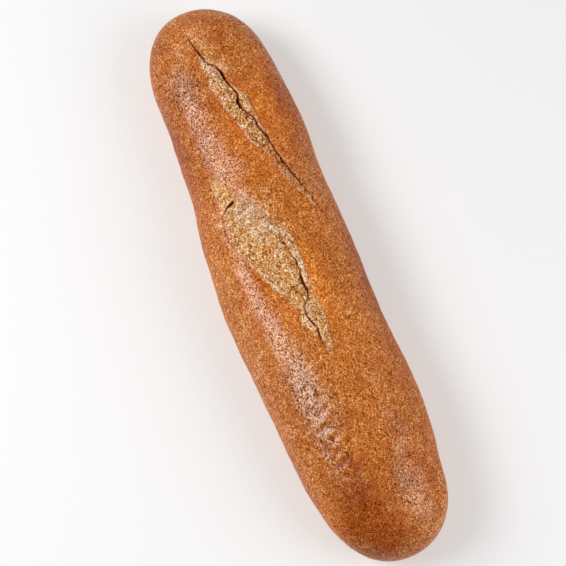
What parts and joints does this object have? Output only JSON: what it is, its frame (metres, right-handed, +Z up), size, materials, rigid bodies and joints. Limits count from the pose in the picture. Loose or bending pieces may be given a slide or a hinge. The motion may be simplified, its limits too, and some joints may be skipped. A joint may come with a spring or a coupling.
{
  "type": "hoagie roll",
  "caption": "Long whole-wheat sandwich roll, baked whole, with rounded ends, a flat base, and slashes torn open along its domed top.",
  "frame": {"origin": "on the surface that the roll lies on, under the middle of its box", "axes": "+X along the roll's length, towards the end that tapers more slowly; +Y across it; +Z up"},
  "size_m": [0.305, 0.0766, 0.0516],
  "materials": {
    "browned_crust": "satin"
  },
  "bodies": {
    "root": {"roll": "browned_crust"}
  },
  "joints": []
}
